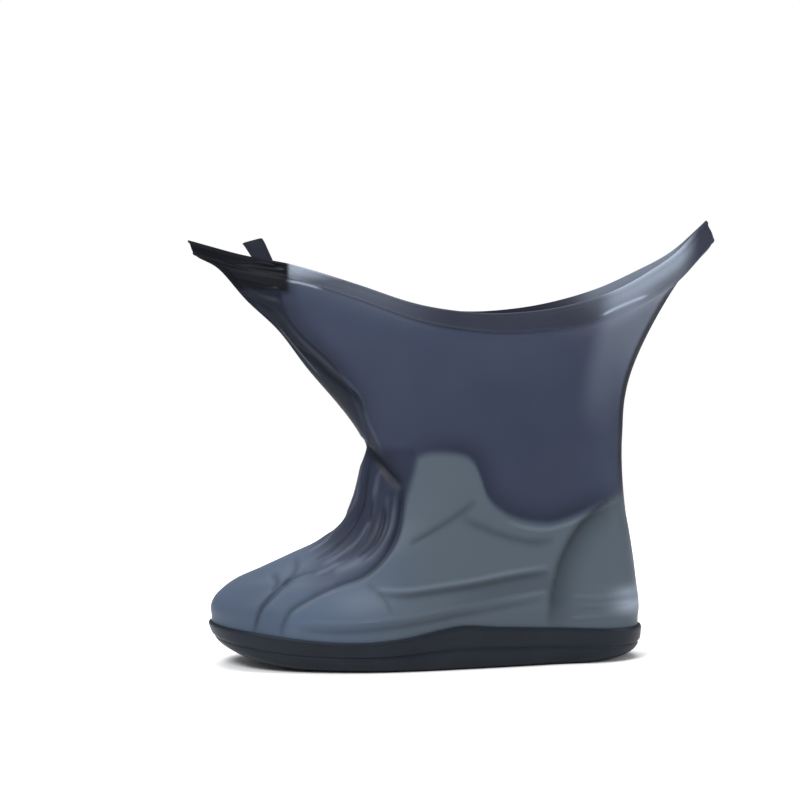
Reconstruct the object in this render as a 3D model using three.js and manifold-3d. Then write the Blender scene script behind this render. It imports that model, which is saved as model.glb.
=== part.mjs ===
// Stretch shoe cover for one left foot, standing on its sole with its mouth pulled open to the front
// and the back. Millimetres, +Z up. The toe points to -X and the outer side of the foot faces -Y.
// The origin lies on the sole's rest face, half way between toe and heel.
import * as THREE from "three";
import Module from "manifold-3d";
import { mergeVertices } from "three/addons/utils/BufferGeometryUtils.js";

const wasm = await Module();
wasm.setup();

// Sole
const soleLength = 290; // tip of the toe to the heel, over the raised edge
const soleWidth = 104; // across the ball of the foot
const soleHeight = 29; // raised edge at the arch, its highest place
const soleBase = 4; // floor of the sole
const soleWall = 2.4; // raised edge
const toeSpring = 12; // rise of the underside at the toe
const springLength = 66; // length of the stretch that rises
const grooveDepth = 0.9; // line round the side of the sole
const clearance = 0.3; // between one piece and the next

// Film
const filmWall = 1.4;
const ankleFront = -42; // X of the hollow in front of the ankle
const ankleFrontHeight = 143;
const ankleBack = 131.5;
const ankleBackHeight = 150;
const ankleWidth = 76;
const foldRise = 2.6; // tallest fold
const foldWidth = 8.5; // half width of the broadest fold
const troughDepth = 0.6; // depth of the troughs beside a fold, as a share of its rise
const legBlend = 2; // rows over which the foot's shape passes into the leg's
const endLeast = 1.6; // shortest solid end of a leg section, in wall thicknesses
const endFade = 5.6; // folds fade this far from the pointed ends
const heelFade = 12; // and this far from the middle of the heel

// Mouth
const mouthFront = -156; // X of the front end of the mouth
const mouthFrontHeight = 277;
const mouthBack = 188;
const mouthBackHeight = 291;
const mouthWidth = 94;
const mouthSag = 55; // how far the middle of the rim hangs below its two ends
const bandHeight = 15;
const bandFrontHeight = 10; // where it is bunched at the front end
const bandLean = 4.5; // how far its two ends lean back towards its foot
const bandWall = 1.8;
const bandRib = 1; // how far the rib and the bead stand out
const tabWidth = 13;
const tabHeight = 14;
const tabFront = 10.5; // height of its front corner
const tabThickness = 2;
const tabSink = 3; // depth of its foot in the band
const tabX = -107; // middle of its foot
const tabLean = 8; // how far its top leans to the front

// Mesh density
const columns = 64;
const ringsPerRow = 2;
const foldSteps = 10; // straight stretches along a fold
const halvings = 30; // of the search for a row
const rowStep = 0.06; // step in rows and in radians for the film's direction
const endStep = 0.002; // step in shares of a section for its solid ends

const toeX = -soleLength / 2;
const heelX = soleLength / 2;
const filmInset = soleWall + clearance;

// Outline of the foot seen from above. Half widths are shares of soleWidth, before the ends are rounded.
const footPlan = [
  { at: 0, outer: 0.64, inner: 0.74 },
  { at: 0.06, outer: 0.62, inner: 0.69 },
  { at: 0.16, outer: 0.57, inner: 0.605 },
  { at: 0.33, outer: 0.535, inner: 0.525 },
  { at: 0.47, outer: 0.49, inner: 0.4 },
  { at: 0.6, outer: 0.45, inner: 0.335 },
  { at: 0.72, outer: 0.43, inner: 0.365 },
  { at: 0.82, outer: 0.44, inner: 0.43 },
  { at: 0.92, outer: 0.55, inner: 0.55 },
  { at: 1, outer: 0.64, inner: 0.64 },
];

// Height of the sole's raised edge from toe to heel, as shares of soleHeight.
const edgeLine = [
  { at: 0, up: 0.97 },
  { at: 0.08, up: 0.89 },
  { at: 0.16, up: 0.79 },
  { at: 0.26, up: 0.7 },
  { at: 0.35, up: 0.69 },
  { at: 0.43, up: 0.77 },
  { at: 0.5, up: 0.91 },
  { at: 0.56, up: 1 },
  { at: 0.64, up: 0.94 },
  { at: 0.76, up: 0.87 },
  { at: 0.88, up: 0.8 },
  { at: 1, up: 0.74 },
];

// Side of the sole from its rest face to its raised edge. front and back are distances from toe and heel
// as shares of soleLength, side is a share of the half width, up a share of the height there, groove a
// share of grooveDepth.
const soleRows = [
  { front: 0.115, back: 0.075, side: 0.86, up: 0, groove: 0 },
  { front: 0.062, back: 0.04, side: 0.93, up: 0.1, groove: 0 },
  { front: 0.03, back: 0.018, side: 0.972, up: 0.26, groove: 0 },
  { front: 0.016, back: 0.008, side: 0.988, up: 0.44, groove: 0 },
  { front: 0.013, back: 0.006, side: 0.991, up: 0.5, groove: 1 },
  { front: 0.01, back: 0.004, side: 0.994, up: 0.57, groove: 0 },
  { front: 0, back: 0, side: 1, up: 1, groove: 0 },
];
const skirtRow = soleRows[5];

// Film over the foot, from the sole's edge to the ankle. front and back are shares of the way from the
// film's toe and heel to the front and back of the ankle, frontUp and backUp shares of the way up, wide a
// share of the half width, foot says how much of the foot's outline the section keeps, and wave how much
// of the edge line's waves.
const footRows = [
  { front: 0, frontUp: 0, back: 0, backUp: 0, wide: 1, foot: 1, wave: 1 },
  { front: 0.006, frontUp: 0.078, back: 0.02, backUp: 0.09, wide: 0.99, foot: 1, wave: 0.8 },
  { front: 0.043, frontUp: 0.157, back: 0.07, backUp: 0.19, wide: 0.97, foot: 1, wave: 0.55 },
  { front: 0.143, frontUp: 0.23, back: 0.2, backUp: 0.29, wide: 0.945, foot: 1, wave: 0.3 },
  { front: 0.302, frontUp: 0.29, back: 0.37, backUp: 0.39, wide: 0.91, foot: 1, wave: 0.12 },
  { front: 0.51, frontUp: 0.37, back: 0.59, backUp: 0.5, wide: 0.87, foot: 1, wave: 0 },
  { front: 0.71, frontUp: 0.45, back: 0.82, backUp: 0.605, wide: 0.83, foot: 0.95, wave: 0 },
  { front: 0.86, frontUp: 0.56, back: 0.95, backUp: 0.71, wide: 0.8, foot: 0.8, wave: 0 },
  { front: 0.935, frontUp: 0.71, back: 1.02, backUp: 0.81, wide: 0.78, foot: 0.55, wave: 0 },
  { front: 0.975, frontUp: 0.86, back: 1.04, backUp: 0.905, wide: 0.77, foot: 0.3, wave: 0 },
  { front: 1, frontUp: 1, back: 1, backUp: 1, wide: 0.77, foot: 0.1, wave: 0 },
];

// Film and band from the ankle to the rim. front, up, back and backUp are shares of the way from the ankle
// to the ends of the mouth, drop a share of the band's height below them, wide a share of the way from
// ankleWidth to mouthWidth, sag a share of mouthSag, tip the sharpness of the two ends (0.5 is round)
// and aft how far the widest place lies to the back (1 is the middle).
const legRows = [
  { front: 0.125, up: 0.172, back: 0.027, backUp: 0.149, drop: 0, wide: 0.08, sag: 0.07, tip: 0.58, aft: 1 },
  { front: 0.325, up: 0.375, back: 0.115, backUp: 0.291, drop: 0, wide: 0.2, sag: 0.2, tip: 0.72, aft: 1.05 },
  { front: 0.49, up: 0.56, back: 0.292, backUp: 0.454, drop: 0, wide: 0.38, sag: 0.39, tip: 0.88, aft: 1.13 },
  { front: 0.675, up: 0.71, back: 0.54, backUp: 0.631, drop: 0, wide: 0.58, sag: 0.6, tip: 1.02, aft: 1.23 },
  { front: 0.83, up: 0.86, back: 0.752, backUp: 0.752, drop: 0, wide: 0.78, sag: 0.81, tip: 1.12, aft: 1.33 },
  { front: 1, up: 1, back: 1, backUp: 1, drop: 1, wide: 0.93, sag: 1, tip: 1.18, aft: 1.4 },
  { front: 1, up: 1, back: 1, backUp: 1, drop: 0, wide: 1, sag: 1, tip: 1.2, aft: 1.45 },
];

// How the rim hangs between its two ends, as shares of mouthSag.
const sagLine = [
  { at: 0, down: 0 },
  { at: 0.1, down: 0.195 },
  { at: 0.2, down: 0.345 },
  { at: 0.31, down: 0.59 },
  { at: 0.42, down: 0.85 },
  { at: 0.52, down: 0.975 },
  { at: 0.6, down: 1 },
  { at: 0.7, down: 0.945 },
  { at: 0.8, down: 0.79 },
  { at: 0.88, down: 0.565 },
  { at: 0.94, down: 0.35 },
  { at: 1, down: 0 },
];

// Folds over the foot, each a bend through three points of the side view. x is a share of soleLength from
// the toe, z a share of ankleFrontHeight, half a share of foldWidth and rise a share of foldRise, negative
// for a groove.
const footFolds = [
  { fold: "crease top", x1: 0.37, z1: 0.98, x2: 0.41, z2: 0.87, x3: 0.43, z3: 0.77, half: 0.8, rise: -0.9 },
  { fold: "crease foot", x1: 0.43, z1: 0.77, x2: 0.39, z2: 0.52, x3: 0.27, z3: 0.38, half: 0.8, rise: -0.9 },
  { fold: "crease toe", x1: 0.27, z1: 0.38, x2: 0.2, z2: 0.31, x3: 0.17, z3: 0.2, half: 0.7, rise: -0.5 },
  { fold: "instep 1", x1: 0.36, z1: 0.92, x2: 0.35, z2: 0.72, x3: 0.27, z3: 0.55, half: 0.65, rise: 0.9 },
  { fold: "instep 2", x1: 0.39, z1: 0.8, x2: 0.365, z2: 0.58, x3: 0.28, z3: 0.47, half: 0.65, rise: 0.8 },
  { fold: "toe cap", x1: 0.1, z1: 0.22, x2: 0.13, z2: 0.37, x3: 0.225, z3: 0.45, half: 0.6, rise: -0.4 },
  { fold: "counter 1", x1: 0.91, z1: 0.74, x2: 0.84, z2: 0.68, x3: 0.8, z3: 0.52, half: 0.9, rise: 0.45 },
  { fold: "counter 2", x1: 0.8, z1: 0.52, x2: 0.775, z2: 0.36, x3: 0.765, z3: 0.22, half: 0.9, rise: 0.45 },
  { fold: "collar 1", x1: 0.45, z1: 0.92, x2: 0.54, z2: 0.97, x3: 0.61, z3: 0.8, half: 0.9, rise: 0.5 },
  { fold: "collar 2", x1: 0.61, z1: 0.8, x2: 0.74, z2: 0.64, x3: 0.92, z3: 0.75, half: 1, rise: 0.5 },
  { fold: "side top", x1: 0.38, z1: 0.38, x2: 0.56, z2: 0.38, x3: 0.75, z3: 0.44, half: 0.7, rise: 0.45 },
  { fold: "side foot", x1: 0.22, z1: 0.24, x2: 0.48, z2: 0.25, x3: 0.75, z3: 0.34, half: 0.7, rise: 0.4 },
];

// Folds in the leg, in the same way. x and z are shares of the way from the front of the ankle to the
// front end of the mouth.
const legFolds = [
  { fold: "pleat outer", x1: 0.6, z1: 0.73, x2: 0.29, z2: 0.4, x3: 0.06, z3: 0.14, half: 0.55, rise: 0.8 },
  { fold: "pleat groove", x1: 0.48, z1: 0.73, x2: 0.2, z2: 0.37, x3: -0.02, z3: 0.01, half: 0.6, rise: -0.7 },
  { fold: "pleat inner", x1: 0.4, z1: 0.74, x2: 0.12, z2: 0.33, x3: -0.12, z3: -0.12, half: 0.65, rise: 0.8 },
  { fold: "gather 1", x1: 0.88, z1: 0.94, x2: 0.7, z2: 0.91, x3: 0.48, z3: 0.87, half: 0.5, rise: 0.6 },
  { fold: "gather 2", x1: 0.84, z1: 0.88, x2: 0.68, z2: 0.81, x3: 0.48, z3: 0.78, half: 0.5, rise: 0.6 },
];

// Band from its foot to the rim: up is a share of its height, out a share of bandRib.
const bandRows = [
  { up: 0, out: 0 },
  { up: 0.08, out: 0.8 },
  { up: 0.16, out: 0.8 },
  { up: 0.24, out: 0.2 },
  { up: 0.8, out: 0.2 },
  { up: 0.88, out: 1 },
  { up: 0.97, out: 1 },
  { up: 1, out: 0.4 },
];

const lerp = THREE.MathUtils.lerp;
const clamp = THREE.MathUtils.clamp;

// Smooth value of a column of rows at a place: cubic between two rows, with slopes from their neighbours.
function smooth(rows, column, place, positions) {
  const at = (i) => (positions ? positions(i) : rows[i].at);
  let i = 0;
  while (i < rows.length - 2 && place > at(i + 1)) i++;
  const slope = (k) => {
    const a = Math.max(k - 1, 0);
    const b = Math.min(k + 1, rows.length - 1);
    return (rows[b][column] - rows[a][column]) / (at(b) - at(a));
  };
  const span = at(i + 1) - at(i);
  const t = clamp((place - at(i)) / span, 0, 1);
  const rest = 1 - t;
  return (
    rows[i][column] * rest * rest * (1 + 2 * t) +
    rows[i + 1][column] * t * t * (1 + 2 * rest) +
    span * t * rest * (slope(i) * rest - slope(i + 1) * t)
  );
}

// Underside of the sole: flat, then rising at the toe.
function underside(x) {
  const share = clamp((toeX + springLength - x) / springLength, 0, 1);
  return toeSpring * share * share;
}

const edgeHeight = (along) => soleHeight * smooth(edgeLine, "up", along);

// Half width of the foot at a turn round it: 0 at the toe, PI at the heel, negative sine on the outer side.
function footHalf(along, turn) {
  const side = Math.sin(turn) < 0 ? "outer" : "inner";
  return soleWidth * smooth(footPlan, side, along);
}

const alongOf = (turn) => (1 - Math.cos(turn)) / 2;
const turnOf = (column) => (2 * Math.PI * column) / columns;

// Point on the side of the sole, moved in by an inset.
function solePoint(row, inset, turn) {
  const along = alongOf(turn);
  const front = toeX + row.front * soleLength + inset;
  const back = heelX - row.back * soleLength - inset;
  const x = lerp(front, back, along);
  const y = (row.side * footHalf(along, turn) - inset) * Math.sin(turn);
  const under = underside(x);
  return new THREE.Vector3(x, y, lerp(under, edgeHeight(along), row.up));
}

// Sections of the film in millimetres, from the sole's edge to the rim.
const sections = [
  ...footRows.map((row) => ({
    frontX: lerp(toeX + filmInset, ankleFront, row.front),
    frontZ: lerp(edgeHeight(0), ankleFrontHeight, row.frontUp),
    backX: lerp(heelX - filmInset, ankleBack, row.back),
    backZ: lerp(edgeHeight(1), ankleBackHeight, row.backUp),
    wide: row.wide,
    foot: row.foot,
    wave: row.wave,
    half: ankleWidth / 2,
    sag: 0,
    tip: 0.5,
    aft: 1,
  })),
  ...legRows.map((row) => ({
    frontX: lerp(ankleFront, mouthFront, row.front) + row.drop * bandLean,
    frontZ: lerp(ankleFrontHeight, mouthFrontHeight, row.up) - row.drop * bandFrontHeight,
    backX: lerp(ankleBack, mouthBack, row.back) + row.drop * bandLean,
    backZ: lerp(ankleBackHeight, mouthBackHeight, row.backUp) - row.drop * bandHeight,
    wide: footRows.at(-1).wide,
    foot: 0,
    wave: 0,
    half: lerp(ankleWidth, mouthWidth, row.wide) / 2,
    sag: row.sag * mouthSag,
    tip: row.tip,
    aft: row.aft,
  })),
];
const sectionColumns = Object.keys(sections[0]);
const rimRow = sections.length - 1;
const bandRow = rimRow - 1;
const legStart = footRows.length - 1;

function sectionAt(row) {
  const found = {};
  for (const column of sectionColumns) found[column] = smooth(sections, column, row, (i) => i);
  return found;
}

// Half width of a section at a share of its length.
function halfAt(section, along, turn) {
  const round = 2 * Math.sqrt(Math.max(along * (1 - along), 0));
  const foot = (section.wide * footHalf(along, turn) - filmInset) * round;
  const swell = Math.max(Math.sin(Math.PI * along ** section.aft), 0);
  const pressed = filmWall * Math.sqrt(round); // the two walls pressed together at the ends
  return lerp(Math.max(section.half * swell ** section.tip, pressed), foot, section.foot);
}

function heightAt(section, along) {
  const waves = edgeHeight(along) - lerp(edgeHeight(0), edgeHeight(1), along);
  return (
    lerp(section.frontZ, section.backZ, along) +
    section.wave * waves -
    section.sag * smooth(sagLine, "down", along)
  );
}

// Point of the smooth film, before its folds.
function filmPoint(section, turn) {
  const along = alongOf(turn);
  const y = Math.sign(Math.sin(turn)) * halfAt(section, along, turn);
  return new THREE.Vector3(lerp(section.frontX, section.backX, along), y, heightAt(section, along));
}

// 0 over the foot, 1 in the leg.
const legShare = (row) => clamp((row - legStart) / legBlend, 0, 1);

// Direction that faces out of the film at a row and turn; in the leg it is level.
function outward(row, turn) {
  const section = sectionAt(row);
  const across = filmPoint(section, turn + rowStep).sub(filmPoint(section, turn - rowStep));
  const above = filmPoint(sectionAt(Math.min(row + rowStep, rimRow)), turn);
  const below = filmPoint(sectionAt(Math.max(row - rowStep, 0)), turn);
  const out = above.sub(below).cross(across).normalize();
  out.z *= 1 - legShare(row);
  return out.normalize();
}

// Point of the film on the outer side of the foot that the side view shows at x and z.
function sidePoint(x, z) {
  let low = 0;
  let high = rimRow;
  const place = (row) => {
    const section = sectionAt(row);
    const along = clamp((x - section.frontX) / (section.backX - section.frontX), 0, 1);
    return { section, along };
  };
  for (let i = 0; i < halvings; i++) {
    const middle = (low + high) / 2;
    const { section, along } = place(middle);
    if (heightAt(section, along) < z) low = middle;
    else high = middle;
  }
  const { section, along } = place(low);
  return new THREE.Vector3(x, -halfAt(section, along, -Math.PI / 2), z);
}

// A fold's line as points on the outer side.
function foldLine(fold, xOf, zOf) {
  const start = new THREE.Vector2(xOf(fold.x1), zOf(fold.z1));
  const middle = new THREE.Vector2(xOf(fold.x2), zOf(fold.z2));
  const end = new THREE.Vector2(xOf(fold.x3), zOf(fold.z3));
  const pull = middle.multiplyScalar(2).addScaledVector(start, -0.5).addScaledVector(end, -0.5);
  const bend = new THREE.QuadraticBezierCurve(start, pull, end);
  const line = bend.getPoints(foldSteps).map((p) => sidePoint(p.x, p.y));
  return { line, half: fold.half * foldWidth, rise: fold.rise * foldRise };
}

const folds = [
  ...footFolds.map((fold) => foldLine(fold, (x) => toeX + x * soleLength, (z) => z * ankleFrontHeight)),
  ...legFolds.map((fold) =>
    foldLine(
      fold,
      (x) => lerp(ankleFront, mouthFront, x),
      (z) => lerp(ankleFrontHeight, mouthFrontHeight, z),
    ),
  ),
];

// Height of all folds at a point, each a ridge between two shallow troughs. Both sides carry the same.
function relief(point) {
  const near = new THREE.Vector3(point.x, -Math.abs(point.y), point.z);
  let height = 0;
  for (const fold of folds) {
    let closest = Infinity;
    for (let i = 1; i < fold.line.length; i++) {
      const segment = new THREE.Line3(fold.line[i - 1], fold.line[i]);
      const foot = segment.closestPointToPoint(near, true, new THREE.Vector3());
      closest = Math.min(closest, foot.distanceTo(near));
    }
    const q = closest / fold.half;
    height += fold.rise * (1 - troughDepth * q * q) * Math.exp(-q * q);
  }
  return height;
}

// Length of the solid end of a section, where its two walls are pressed together.
function solidEnd(section, depth, fromFront) {
  const room = depth + clearance;
  const halfOf = (share) => halfAt(section, fromFront ? share : 1 - share, -Math.PI / 2);
  let share = 0;
  while (share < 0.5 && halfOf(share) < room) share += endStep;
  return Math.max(share * (section.backX - section.frontX), endLeast * depth);
}

// Distance of an inner point from the end of its section: past the solid end it lies straight behind the
// outer one.
const behindEnd = (distance, solid) =>
  distance < 2 * solid ? solid + (distance * distance) / (4 * solid) : distance;

// Point of the film with its folds, a depth below its outer face; rise lifts it off the outer face.
function wallPoint(row, turn, depth, rise) {
  const section = sectionAt(row);
  const surface = filmPoint(section, turn);
  const out = outward(row, turn);
  const off = Math.abs(surface.y);
  const heel = alongOf(turn) > 0.5 ? Math.min(1, off / heelFade) : 1;
  const fade = Math.min(1, row) * lerp(heel, Math.min(1, off / endFade), legShare(row));
  const shift = out.clone().multiplyScalar(relief(surface) * fade + rise);
  if (depth === 0) return surface.add(shift);
  const offset = surface.clone().addScaledVector(out, -depth);
  if (legShare(row) > 0) {
    const fromFront = behindEnd(surface.x - section.frontX, solidEnd(section, depth, true));
    const fromBack = behindEnd(section.backX - surface.x, solidEnd(section, depth, false));
    const x = alongOf(turn) < 0.5 ? section.frontX + fromFront : section.backX - fromBack;
    const along = (x - section.frontX) / (section.backX - section.frontX);
    const least = (clearance / 2) * Math.abs(Math.sin(turn));
    const y = Math.sign(surface.y) * Math.max(halfAt(section, along, turn) - depth, least);
    offset.lerp(new THREE.Vector3(x, y, heightAt(section, along)), legShare(row));
  }
  return offset.add(shift);
}

// A closed ring of points from a function of the turn.
const ringOf = (pointAt) => Array.from({ length: columns }, (_, i) => pointAt(turnOf(i)));

// Surface through rings. A ring whose points fold onto a line closes an end, looped joins last to first.
function skin(rings, looped) {
  const positions = rings.flat().flatMap((p) => [p.x, p.y, p.z]);
  const index = [];
  const spans = looped ? rings.length : rings.length - 1;
  for (let r = 0; r < spans; r++) {
    for (let c = 0; c < columns; c++) {
      const next = (c + 1) % columns;
      const low = r * columns;
      const high = ((r + 1) % rings.length) * columns;
      index.push(low + c, high + next, low + next, low + c, high + c, high + next);
    }
  }
  const geometry = new THREE.BufferGeometry();
  geometry.setAttribute("position", new THREE.Float32BufferAttribute(positions, 3));
  geometry.setIndex(index);
  return geometry;
}

// Solid from a closed geometry, with shared vertices merged and folded triangles dropped.
function solidOf(geometry) {
  const plain = geometry.clone();
  plain.deleteAttribute("normal");
  plain.deleteAttribute("uv");
  const merged = mergeVertices(plain, 1e-4);
  const kept = [];
  for (let i = 0; i < merged.index.count; i += 3) {
    const [a, b, c] = [0, 1, 2].map((k) => merged.index.getX(i + k));
    if (a !== b && b !== c && c !== a) kept.push(a, b, c);
  }
  const vertProperties = merged.attributes.position.array;
  return new wasm.Manifold(new wasm.Mesh({ numProp: 3, vertProperties, triVerts: new Uint32Array(kept) }));
}

function geometryOf(solid) {
  const mesh = solid.getMesh();
  const geometry = new THREE.BufferGeometry();
  geometry.setAttribute("position", new THREE.BufferAttribute(mesh.vertProperties, 3));
  geometry.setIndex(new THREE.BufferAttribute(mesh.triVerts, 1));
  geometry.computeVertexNormals();
  return geometry;
}

// Sole: underside, rounded lower edge, grooved side, raised edge, and the inside down to its floor.
function makeOutsole() {
  const spine = (point) => point.setY(0);
  const outside = soleRows.map((row) =>
    ringOf((turn) => solePoint(row, row.groove * grooveDepth, turn)),
  );
  const floorLift = (row) => soleBase * Math.max(1 - row.up / skirtRow.up, 0) ** 2;
  const inside = soleRows
    .filter((row) => row.groove === 0)
    .map((row) =>
      ringOf((turn) => {
        const point = solePoint(row, soleWall, turn);
        point.z += floorLift(row);
        return point;
      }),
    )
    .reverse();
  const under = outside[0].map((p) => spine(p.clone()));
  const floor = inside.at(-1).map((p) => spine(p.clone()));
  return skin([under, ...outside, ...inside, floor], false);
}

// Film: a skirt behind the sole's raised edge, then every row up to the band's foot, and back down inside.
function makeUpper() {
  const skirt = (depth) => ringOf((turn) => solePoint(skirtRow, filmInset + depth, turn));
  const wall = (depth) =>
    Array.from({ length: bandRow * ringsPerRow + 1 }, (_, i) =>
      ringOf((turn) => wallPoint(i / ringsPerRow, turn, depth, 0)),
    );
  return skin([skirt(0), ...wall(0), ...wall(filmWall).reverse(), skirt(filmWall)], true);
}

// Band: rib, flat and bead outside, plain inside, with the folded tab joined on at the front gather.
function makeBand() {
  const foot = bandRow + clearance / bandFrontHeight;
  const outside = bandRows.map((row) =>
    ringOf((turn) => wallPoint(lerp(foot, rimRow, row.up), turn, 0, row.out * bandRib)),
  );
  const inside = [1, 0.5, 0].map((up) =>
    ringOf((turn) => wallPoint(lerp(foot, rimRow, up), turn, bandWall, 0)),
  );
  const band = solidOf(skin([...outside, ...inside], true));
  return geometryOf(band.add(solidOf(makeTab())));
}

// Folded tab: a leaning leaf that stands on the rim, its foot sunk in the band and in line with its wall.
function makeTab() {
  const rim = sections[rimRow];
  const placeOf = (x) => {
    const along = (x - mouthFront) / (mouthBack - mouthFront);
    return new THREE.Vector2(heightAt(rim, along), -halfAt(rim, along, -Math.PI / 2));
  };
  const middle = placeOf(tabX);
  const front = placeOf(tabX - tabWidth / 2);
  const back = placeOf(tabX + tabWidth / 2);
  const half = tabWidth / 2;
  const leaf = new THREE.Shape([
    new THREE.Vector2(-half, front.x - middle.x - tabSink),
    new THREE.Vector2(half, back.x - middle.x - tabSink),
    new THREE.Vector2(half, back.x - middle.x),
    new THREE.Vector2(half - tabLean, tabHeight),
    new THREE.Vector2(-half - tabLean, tabFront),
  ]);
  const geometry = new THREE.ExtrudeGeometry(leaf, { depth: tabThickness, bevelEnabled: false });
  geometry.rotateX(Math.PI / 2);
  geometry.translate(0, tabThickness, 0);
  geometry.rotateZ(Math.atan2(back.y - front.y, tabWidth));
  geometry.translate(tabX, middle.y, middle.x);
  return geometry;
}

function piece(name, geometry, color, roughness) {
  const shown = geometryOf(solidOf(geometry));
  const mesh = new THREE.Mesh(shown, new THREE.MeshStandardMaterial({ color, roughness, metalness: 0 }));
  mesh.name = name;
  return mesh;
}

const shoeCover = new THREE.Group();
shoeCover.add(piece("outsole", makeOutsole(), 0x33363f, 0.5));
shoeCover.add(piece("upper", makeUpper(), 0x4c5165, 0.4));
shoeCover.add(piece("rim_band", makeBand(), 0x41414b, 0.4));

export default shoeCover;
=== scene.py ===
import math
import bmesh
import bpy
import numpy as np
from mathutils import Matrix, Vector


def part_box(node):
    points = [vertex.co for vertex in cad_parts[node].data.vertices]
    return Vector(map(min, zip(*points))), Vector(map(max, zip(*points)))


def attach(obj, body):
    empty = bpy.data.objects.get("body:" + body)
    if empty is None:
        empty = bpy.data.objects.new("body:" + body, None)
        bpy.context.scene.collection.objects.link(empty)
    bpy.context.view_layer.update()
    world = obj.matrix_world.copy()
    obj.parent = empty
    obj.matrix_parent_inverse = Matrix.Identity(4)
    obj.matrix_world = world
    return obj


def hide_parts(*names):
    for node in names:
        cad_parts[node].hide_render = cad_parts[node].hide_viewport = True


# Stretch shoe cover for a left foot, its mouth pulled open to the front and the back.
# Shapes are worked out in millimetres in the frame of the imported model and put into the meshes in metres.
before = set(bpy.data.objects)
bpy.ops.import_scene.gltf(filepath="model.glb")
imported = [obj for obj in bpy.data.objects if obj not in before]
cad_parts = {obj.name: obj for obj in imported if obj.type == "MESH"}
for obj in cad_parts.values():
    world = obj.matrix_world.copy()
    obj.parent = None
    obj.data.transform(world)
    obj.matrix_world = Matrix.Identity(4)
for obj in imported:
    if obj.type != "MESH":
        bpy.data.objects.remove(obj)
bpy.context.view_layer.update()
mm = 0.001
tiny = 1e-12  # keeps a division from zero

soleLow, soleHigh = (np.array(corner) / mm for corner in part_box("outsole"))
bandHigh = np.array(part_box("rim_band")[1]) / mm

cameraPlace = dict(
    azimuth=-8.0,  # degrees round the cover, 0 looks along +Y
    distance=1400, height=250,  # mm
    yaw=-7.27, pitch=3.18,  # degrees to the left of +Y and below the horizon
    lens=95.58, sensor=36,  # mm
)


def makeCamera(place):
    # Stands off the origin at the azimuth and distance, and looks along yaw and pitch.
    azimuth, yaw, pitch = (math.radians(place[key]) for key in ("azimuth", "yaw", "pitch"))
    away = place["distance"]
    stand = Vector((math.sin(azimuth) * away, -math.cos(azimuth) * away, place["height"]))
    ahead = Vector((-math.sin(yaw) * math.cos(pitch), math.cos(yaw) * math.cos(pitch), -math.sin(pitch)))
    right = Vector((math.cos(yaw), math.sin(yaw), 0))
    up = right.cross(ahead)
    data = bpy.data.cameras.new("camera")
    data.lens = place["lens"]
    data.sensor_width = place["sensor"]
    camera = bpy.data.objects.new("camera", data)
    camera.matrix_world = Matrix.Translation(stand * mm) @ Matrix((right, up, -ahead)).transposed().to_4x4()
    bpy.context.scene.collection.objects.link(camera)
    bpy.context.scene.camera = camera


makeCamera(cameraPlace)
print("camera placed")

sole = dict(
    length=soleHigh[0] - soleLow[0], toe=soleLow[0], heel=soleHigh[0],
    width=104, height=29, base=4, wall=2.4,  # mm
    toeSpring=12, springLength=66,
    groove=1.1, grooveUp=0.5, grooveHalf=0.045,  # depth in mm, place and half width as shares of the height
    edgeRound=0.9, roundUp=0.86,  # set-in of the top edge in mm, and the share of the height where it starts
    underRings=4, outerRings=34, columns=480,
    ringPower=1.25,  # over 1, rings lie closer together low down
    innerUps=(0, 0.06, 0.14, 0.26, 0.4, 0.57, 0.8, 1),  # rings of the inside as shares of the height
)
film = dict(
    wall=1.4, clearance=0.3,
    ankleFront=-42, ankleFrontHeight=143, ankleBack=131.5, ankleBackHeight=150, ankleWidth=76,
    columns=480, footRings=86, legRings=72, innerShare=0.36,
    legBlend=2,  # rows over which the film goes over from foot to leg
    endLeast=1.6, endStep=0.002,  # least length of the solid ends in walls, and the step that finds them
    endFade=5.6, heelFade=12,  # mm from the middle line over which folds fade in
    normalStep=0.03, halvings=30,
    billow=0.22, billowHeight=(40, 170),  # mm
    swell=1.5, swellRow=1.2, swellRows=0.8,  # mm, the row where it is highest, and its half width in rows
    farShift=(-3, 0, 4),  # mm, from a point of the far side to the fold that it carries
    farBlend=(2, 16),  # mm past the middle line, where the far side's folds come in
)
mouth = dict(
    front=-156, frontHeight=277, back=188, backHeight=bandHigh[2], width=94, sag=55,
    bandHeight=15, bandFrontHeight=10, lean=4.5, wall=1.8, rib=1,
    overlap=0.03,  # of the row below, where the band grips the film's top edge
    rings=31, innerRings=7,
)

# Outline of the foot from toe to heel: place, outer and inner half width as shares of the sole's width.
footPlan = np.array([
    (0, 0.64, 0.74), (0.06, 0.62, 0.69), (0.16, 0.57, 0.605), (0.33, 0.535, 0.525), (0.47, 0.49, 0.4),
    (0.6, 0.45, 0.335), (0.72, 0.43, 0.365), (0.82, 0.44, 0.43), (0.92, 0.55, 0.55), (1, 0.64, 0.64),
])
# Height of the sole's edge from toe to heel: place, share of the sole's height.
edgeLine = np.array([
    (0, 0.97), (0.08, 0.89), (0.16, 0.79), (0.26, 0.7), (0.35, 0.69), (0.43, 0.77),
    (0.5, 0.91), (0.56, 1), (0.64, 0.94), (0.76, 0.87), (0.88, 0.8), (1, 0.74),
])
# Side of the sole from its rest face up: front and back set-in as shares of its length, side as a share of
# the half width, up as a share of the height there.
soleRows = np.array([
    (0.115, 0.075, 0.86, 0), (0.062, 0.04, 0.93, 0.1), (0.03, 0.018, 0.972, 0.26),
    (0.016, 0.008, 0.988, 0.44), (0.01, 0.004, 0.994, 0.57), (0, 0, 1, 1),
])
skirtUp = 0.57  # share of the sole's height where the film's skirt starts
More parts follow.
